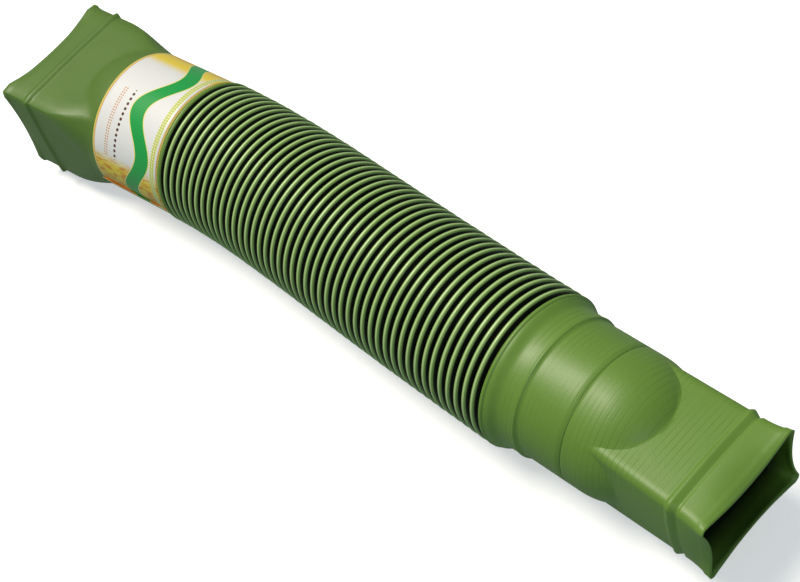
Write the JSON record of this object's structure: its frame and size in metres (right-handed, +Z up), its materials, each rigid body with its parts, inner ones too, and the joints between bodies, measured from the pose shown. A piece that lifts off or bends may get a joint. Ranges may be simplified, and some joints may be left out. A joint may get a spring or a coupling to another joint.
{
  "type": "flexible downspout extension",
  "caption": "Flexible corrugated downspout extension with rectangular ends and a wrap-round label, lying slightly bent on the ground.",
  "frame": {"origin": "on the ground, under the middle of the tube's bounding box", "axes": "+X along the length, towards the smaller outlet, and +Z up"},
  "size_m": [0.6984, 0.1306, 0.1166],
  "materials": {
    "tube": "satin moulded polyethylene, olive green",
    "label": "printed film, off-white with yellow, orange and green"
  },
  "bodies": {
    "root": {"tube": "tube", "label": "label"}
  },
  "joints": []
}
